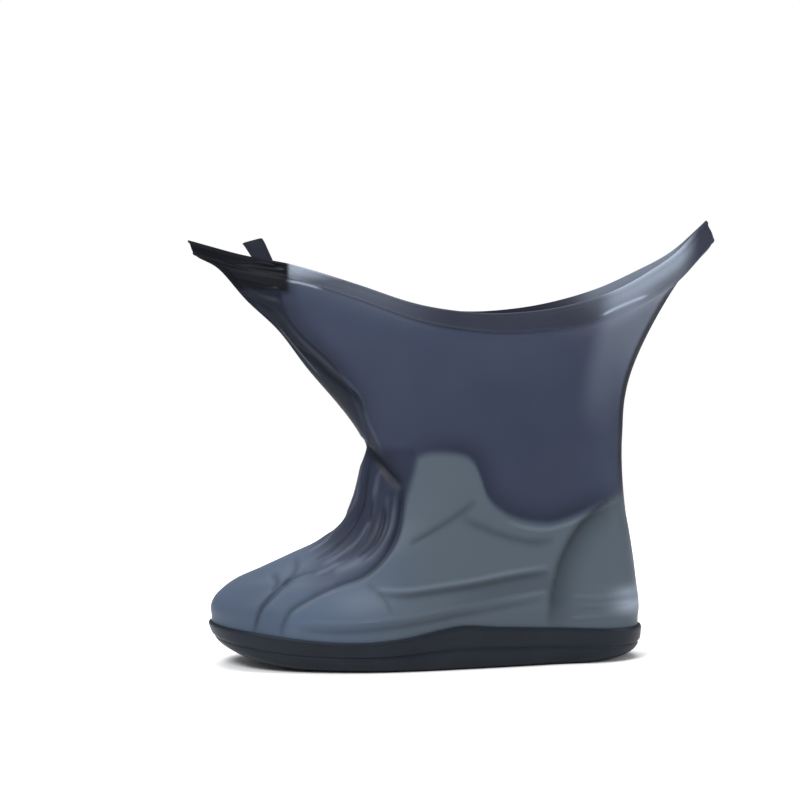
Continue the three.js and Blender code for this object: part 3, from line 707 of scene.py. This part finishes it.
# Strength of the painted light places, painted highlights and painted light from behind on paler stretched
# film, the first of each pair everywhere and the second more of it under the rim.
glow = dict(
    back=(0.3, 0.62), corner=(0.17, 0.2), wedge=0.95, frontRim=0.15,
    rimDepth=13,  # mm under the rim
    backFootLoss=0.5,
    cornerLean=0.18, cornerLevel=225,  # the corner's border leans by this share, counted from this height
    backThin=0.2, wedgeThin=0.6,
)
# Strengths and sizes of tones: lowLegBack is how much of the painted shade low in the leg fades towards the
# back, toeCling and lowCling how far the film counts as drawn tight at the toe, under toeClingTop, and low
# down, crest a painted highlight on the crests of folds, lessened by crestLoss where the film is darkened, dip
# a painted shade in their grooves, and streakIn, streakOut and streakHalf the sizes of the painted light
# streaks.
shades = dict(
    lowLegBack=0.8, toeCling=0.8, lowCling=0.65,
    toeClingTop=90,  # mm
    crestHeight=1.5, crest=0.33, crestLoss=0.75, dipDepth=1.6, dip=0.85,  # heights and depths in mm
    streakIn=5, streakOut=8, streakHalf=0.8,  # mm, for the two ends of a thin light line and its half width
)
# Painted highlights, soft light spots on the heel and the vamp: strength, then middle and half width along x
# and along z in mm.
paintedHighlightSpots = [(0.408, 134, 13, 46, 4), (0.68, 134, 13, 37, 5), (0.14, -48, 20, 47, 9)]
# Painted highlights, thin light lines where the stretched film catches the light: strength, then points as x
# and z in mm.
paintedStreaks = [
    (0.9, [(108, 228), (119, 233), (131, 237.5), (144, 242)]),
    (0.8, [(-94, 251), (-85, 249.5), (-77, 247.5), (-69, 245)]),
    (0.15, [(-99, 222), (-90, 211), (-80, 199), (-69, 186)]),
]


def stretchedCorners(x, z, single, backEdge):
    # Painted light and thinness of the film by the two ends of the mouth, paler stretched film with painted
    # highlights and painted light from behind: smooth ramps along the ways to them, with a bell over the
    # distance under the rim. Single is 1 where only one layer lies.
    (startX, startZ), (endX, endZ) = zones["stretchFrom"], zones["stretchTo"]
    way = (x - startX) * (endX - startX) + (z - startZ) * (endZ - startZ)
    way /= (endX - startX) ** 2 + (endZ - startZ) ** 2
    rim = sectionAt(np.array([float(rimRow)]))
    underRim = heightAt(rim, placeIn(rim, x)) - z
    upper = bell(underRim, 0, glow["rimDepth"])
    back = easeIn(way, *ranges["stretch"]) * (1 - easeIn(x, *ranges["backTip"])) * (1 - backEdge)
    backFoot = easeIn(underRim, *ranges["backFoot"]) * easeIn(x, *ranges["backFootLength"])
    back *= 1 - glow["backFootLoss"] * backFoot
    wedge = easeIn(z, *ranges["wedgeHeight"]) * easeIn(-x, *ranges["wedgeLength"]) * single
    frontRim = upper * easeIn(-x, *ranges["frontRim"]) * single
    corner = easeIn(x - glow["cornerLean"] * (z - glow["cornerLevel"]), *ranges["corner"])
    corner *= easeIn(z, *ranges["cornerHeight"]) * (1 - easeIn(way, *ranges["stretchEnd"])) * (1 - backEdge)
    backLight, cornerLight = ((low + more * upper) for low, more in (glow["back"], glow["corner"]))
    light = np.maximum.reduce([back * backLight, glow["wedge"] * wedge, glow["frontRim"] * frontRim])
    return light + cornerLight * corner, np.maximum(glow["backThin"] * back, glow["wedgeThin"] * wedge)


def paintFilm(piece, onBand, most):
    # Values for each point from its place in the side view and its fold: cling where the film is drawn tight,
    # toe towards the toe for the vamp's bluer tone, a painted reflection, dark up to most for doubled or
    # bunched film, a side band and the toe's end, and as painted shade in grooves, low in the leg and along
    # its back edge, pale for paler stretched film and painted highlights on crests and light places, thin
    # where the film is stretched most. onBand is 1 for the band and 0 for the film.
    flat = np.empty(len(piece.data.vertices) * 3)
    piece.data.vertices.foreach_get("co", flat)
    points = flat.reshape(-1, 3) / mm
    x, z = points[:, 0], points[:, 2]
    relief = reliefOf(points)
    behind = easeIn(x - lineAt(zones["creaseLine"], z, 1), *ranges["behind"])
    tight = behind * easeIn(lineAt(ankleLine, x) - z, *ranges["ankle"])
    toe = easeIn(-x, *ranges["toe"])
    strip = easeIn(lineAt(zones["stripLine"], z, 1) - x, *ranges["strip"]) * easeIn(z, *ranges["stripHeight"])
    gather = easeIn(zones["gatherRight"] - x, *ranges["gather"]) * easeIn(z, *ranges["gatherHeight"])
    instep = (1 - behind) * between(z, *ranges["instepHeight"]) * easeIn(x, *ranges["instepLength"])
    sideBand = easeIn(z - lineAt(zones["bandFoot"], x), *ranges["sideFoot"])
    sideBand *= easeIn(lineAt(zones["bandTop"], x) - z, *ranges["sideTop"])
    sideBand *= between(x, *ranges["sideLength"])
    # Painted shade along the back edge of the leg, where its walls meet.
    backLine = sections[legStart - 2:, (3, 2)]
    backEdge = easeIn(x - smooth(backLine[:, 0], backLine[:, 1], z), *ranges["backEdge"])
    backEdge *= between(z, *ranges["backHeight"]) * (1 - onBand)
    # Painted shade inside the leg: full low down and gone towards the top, none where the film is drawn tight
    # or on the toe, and less towards the back.
    lowLegShade = (1 - easeIn(z, *ranges["lowLegShade"])) * (1 - tight) * (1 - toe)
    lowLegShade *= 1 - shades["lowLegBack"] * easeIn(x, *ranges["lowLegBack"])
    layers = dict(strip=strip, gather=gather, instep=instep, sideBand=sideBand, backEdge=backEdge,
                  lowLegShade=lowLegShade, toeEnd=easeIn(-x, *ranges["toeEnd"]))
    darkened = np.maximum.reduce([darkening[key] * layer for key, layer in layers.items()])
    # Painted highlight on the crests of folds, weaker where the film is darkened, and painted shade in their
    # grooves.
    crest = np.clip(relief / shades["crestHeight"], 0, 1) * (1 - shades["crestLoss"] * darkened)
    dip = np.clip(-relief / shades["dipDepth"], 0, 1)
    paleAndHighlight, thin = stretchedCorners(x, z, (1 - gather) * (1 - strip), backEdge)
    paleAndHighlight += shades["crest"] * crest
    # Painted highlights: soft spots, then thin streaks.
    for strength, middleX, halfX, middleZ, halfZ in paintedHighlightSpots:
        paleAndHighlight += strength * bell(x, middleX, halfX) * bell(z, middleZ, halfZ)
    for strength, line in paintedStreaks:
        start, end = line[0][0], line[-1][0]
        reach = between(x, (start, start + shades["streakIn"]), (end - shades["streakOut"], end))
        paleAndHighlight += strength * reach * bell(z, lineAt(line, x), shades["streakHalf"])
    lowCling = shades["lowCling"] * (1 - easeIn(z, *ranges["lowFilm"]))
    toeCling = shades["toeCling"] * toe * (z < shades["toeClingTop"])
    addValue(piece, "cling", np.maximum.reduce([tight, toeCling, lowCling]))
    # Share of the vamp's bluer tone, a painted reflection, growing towards the toe.
    addValue(piece, "toe", easeIn(-x, *ranges["toeTone"]))
    # Darkening: doubled or bunched film, a side band and the toe's end, and painted shade in grooves, low in
    # the leg and along its back edge.
    addValue(piece, "darkAndShade", most * (1 - (1 - darkened) * (1 - shades["dip"] * dip)))
    # Paler stretched film and painted highlights.
    addValue(piece, "paleAndHighlight", np.clip(paleAndHighlight, 0, 1))
    addValue(piece, "thin", thin)


for painted, onBand, most in ((filmPiece, 0, 1), (bandPiece, 1, 1), (tabPiece, 1, 0.6)):
    paintFilm(painted, onBand, most)
print("film, band and tab shaded")


def linear(code, alpha=1.0):
    # sRGB hex code to the linear colour that the shader wants: a straight foot, then a power of 2.4.
    values = [int(code[i:i + 2], 16) / 255 for i in (1, 3, 5)]
    return (*[v / 12.92 if v <= 0.04045 else ((v + 0.055) / 1.055) ** 2.4 for v in values], alpha)


def addNode(tree, kind, links=(), operation=None, **settings):
    # Adds a node; settings name its own properties or its sockets, and links are pairs of socket and source.
    node = tree.nodes.new(kind)
    if operation:
        node.operation = operation
    for key, value in settings.items():
        if hasattr(node, key):
            setattr(node, key, value)
        else:
            node.inputs[key].default_value = value
    for socket, source in links:
        tree.links.new(source, node.inputs[socket])
    return node


def newMaterial(name):
    # A material with its node tree and its shader.
    material = bpy.data.materials.new(name)
    material.use_nodes = True
    tree = material.node_tree
    shader = tree.nodes["Principled BSDF"]
    return material, tree, shader


def noise(tree, place, size, detail):
    # Smooth noise with waves of a size in mm.
    node = addNode(tree, "ShaderNodeTexNoise", [("Vector", place)], Scale=1 / (size * mm), Detail=detail)
    return node.outputs["Fac"]


def spread(tree, value, low, high):
    # Straight from low at 0 to high at 1.
    node = addNode(tree, "ShaderNodeMapRange", [("Value", value)])
    node.inputs["To Min"].default_value = low
    node.inputs["To Max"].default_value = high
    return node.outputs["Result"]


def mixColour(tree, factor, first, second):
    # The first colour where the factor is 0 and the second where it is 1; each is a colour or a socket.
    node = tree.nodes.new("ShaderNodeMix")
    node.data_type = "RGBA"
    tree.links.new(factor, node.inputs["Factor"])
    for socket, value in (("A", first), ("B", second)):
        target = [s for s in node.inputs if s.name == socket and s.type == "RGBA"][0]
        if isinstance(value, tuple):
            target.default_value = value
        else:
            tree.links.new(value, target)
    return [s for s in node.outputs if s.type == "RGBA"][0]


# Colours: slate where the film stands off, quarter and vamp where it is drawn tight, the vamp bluer as a
# painted reflection, dark for doubled film and painted shade, pale for stretched film and painted highlights,
# cloud for a slow random tone.
filmLook = dict(
    slate="#31384c", quarter="#4a545c", vamp="#4b586a", darkAndShade="#0a0d14", paleAndHighlight="#9aa5b5", cloud="#4b5263",
    cloudSize=38, cloudShare=0.3,  # mm
    alphaFull=0.95, alphaThin=0.16,
    ripple=14.0, bump=0.1, bumpHeight=0.6,  # mm, strength, mm
    roughness=0.42, smoother=0.06, rougher=0.08,
    gloss=0.15, refraction=1.42,
)


def elastomerFilm(name, look):
    # Dip-moulded elastomer: an even satin skin with a faint ripple, darker where two layers lie together and
    # in painted shade, paler where stretched and in painted highlights, bluer towards the toe in a painted
    # reflection, and clear where it is stretched thin.
    material, tree, shader = newMaterial(name)
    place = addNode(tree, "ShaderNodeTexCoord").outputs["Object"]
    names = ("cling", "toe", "darkAndShade", "paleAndHighlight", "thin")
    values = {key: addNode(tree, "ShaderNodeAttribute", attribute_name=key).outputs["Fac"] for key in names}
    ripple = noise(tree, place, look["ripple"], 0.0)
    cloud = noise(tree, place, look["cloudSize"], 2.0)
    # Film drawn tight: the quarter's tone, going over towards the toe to the vamp's bluer tone, a painted
    # reflection.
    drawn = mixColour(tree, values["toe"], linear(look["quarter"]), linear(look["vamp"]))
    tint = mixColour(tree, values["cling"], linear(look["slate"]), drawn)
    tint = mixColour(tree, spread(tree, cloud, 0, look["cloudShare"]), tint, linear(look["cloud"]))
    tint = mixColour(tree, values["darkAndShade"], tint, linear(look["darkAndShade"]))
    tint = mixColour(tree, values["paleAndHighlight"], tint, linear(look["paleAndHighlight"]))
    tree.links.new(tint, shader.inputs["Base Color"])
    rough = spread(tree, ripple, look["roughness"] - look["smoother"], look["roughness"] + look["rougher"])
    tree.links.new(rough, shader.inputs["Roughness"])
    clear = spread(tree, values["thin"], look["alphaFull"], look["alphaThin"])
    firm = addNode(tree, "ShaderNodeMath", [(0, clear), (1, values["darkAndShade"])], "MAXIMUM")
    tree.links.new(firm.outputs[0], shader.inputs["Alpha"])
    height = look["bumpHeight"] * mm
    wavy = addNode(tree, "ShaderNodeBump", [("Height", ripple)], Strength=look["bump"], Distance=height)
    tree.links.new(wavy.outputs["Normal"], shader.inputs["Normal"])
    shader.inputs["IOR"].default_value = look["refraction"]
    shader.inputs["Specular IOR Level"].default_value = look["gloss"]
    return material


soleLook = dict(
    colour="#10141a", dusk="#1c222c", cloudSize=26,  # mm
    grain=0.9, bump=0.18, bumpHeight=0.08,  # mm, strength, mm
    roughness=0.44, smoother=0.05, rougher=0.07, gloss=0.16,
)


def mouldedRubber(name, look):
    # Injection-moulded rubber: close, dull satin with a fine stipple and slight cloudiness.
    material, tree, shader = newMaterial(name)
    place = addNode(tree, "ShaderNodeTexCoord").outputs["Object"]
    cloud = noise(tree, place, look["cloudSize"], 3.0)
    stipple = noise(tree, place, look["grain"], 2.0)
    tint = mixColour(tree, cloud, linear(look["colour"]), linear(look["dusk"]))
    tree.links.new(tint, shader.inputs["Base Color"])
    rough = spread(tree, stipple, look["roughness"] - look["smoother"], look["roughness"] + look["rougher"])
    tree.links.new(rough, shader.inputs["Roughness"])
    height = look["bumpHeight"] * mm
    bump = addNode(tree, "ShaderNodeBump", [("Height", stipple)], Strength=look["bump"], Distance=height)
    tree.links.new(bump.outputs["Normal"], shader.inputs["Normal"])
    shader.inputs["Specular IOR Level"].default_value = look["gloss"]
    return material


filmPiece.data.materials.append(elastomerFilm("dipMouldedElastomerFilm", filmLook))
bandLook = dict(filmLook, slate="#292b37", alphaFull=0.97, alphaThin=0.2, roughness=0.44)
bandMaterial = elastomerFilm("mouldedElastomerBand", bandLook)
bandPiece.data.materials.append(bandMaterial)
tabPiece.data.materials.append(bandMaterial)
solePiece.data.materials.append(mouldedRubber("mouldedElastomerSole", soleLook))
print("materials made")

pieces = [
    (filmPiece, "upper", "film"), (bandPiece, "rim_band", "band"),
    (tabPiece, "rim_band", "band"), (solePiece, "outsole", "sole"),
]
for piece, node, slot in pieces:
    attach(piece, "root")
    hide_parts(node)


floorLook = dict(half=0.9, colour=(0.93, 0.93, 0.93, 1), roughness=0.9)  # half its width in metres


def makeFloor(look):
    # Pale matt floor under the sole, a square round the origin.
    half = look["half"]
    corners = [(-half, -half, 0), (half, -half, 0), (half, half, 0), (-half, half, 0)]
    mesh = bpy.data.meshes.new("floor")
    mesh.from_pydata(corners, [], [(0, 1, 2, 3)])
    floor = bpy.data.objects.new("floor", mesh)
    bpy.context.scene.collection.objects.link(floor)
    material, _, shader = newMaterial("paleFloor")
    shader.inputs["Base Color"].default_value = look["colour"]
    shader.inputs["Roughness"].default_value = look["roughness"]
    shader.inputs["Specular IOR Level"].default_value = 0.0
    mesh.materials.append(material)


makeFloor(floorLook)

lights = dict(  # place in metres, size in metres, power in watts
    key=((-1.1, -1.3, 1.8), 0.9, 44),
    top=((0.0, 0.4, 2.2), 2.2, 66),
    right=((1.5, -0.5, 0.55), 0.5, 6),
)
studio = dict(
    tint=(0.93, 0.96, 1, 1), strength=0.4,  # of the backdrop's light
    aim=(0, 0, 0.12),  # of the lamps, in metres
)


def makeLights():
    # The backdrop is white to the camera and dimmer as a light, so that dark rubber keeps its depth.
    world = bpy.data.worlds.new("studio")
    world.use_nodes = True
    tree = world.node_tree
    dim = tree.nodes["Background"]
    dim.inputs["Color"].default_value = studio["tint"]
    dim.inputs["Strength"].default_value = studio["strength"]
    shown = addNode(tree, "ShaderNodeBackground", Color=(1, 1, 1, 1), Strength=1.0)
    seen = addNode(tree, "ShaderNodeLightPath").outputs["Is Camera Ray"]
    pick = addNode(tree, "ShaderNodeMixShader", [(0, seen), (1, dim.outputs[0]), (2, shown.outputs[0])])
    tree.links.new(pick.outputs[0], tree.nodes["World Output"].inputs["Surface"])
    bpy.context.scene.world = world
    for name, (place, size, power) in lights.items():
        data = bpy.data.lights.new(name, "AREA")
        data.size = size
        data.energy = power
        light = bpy.data.objects.new(name, data)
        light.location = place
        aim = Vector(studio["aim"]) - Vector(place)
        light.rotation_euler = aim.to_track_quat("-Z", "Y").to_euler()
        bpy.context.scene.collection.objects.link(light)


makeLights()
bpy.context.scene.view_settings.view_transform = "Standard"
print("light and floor made")
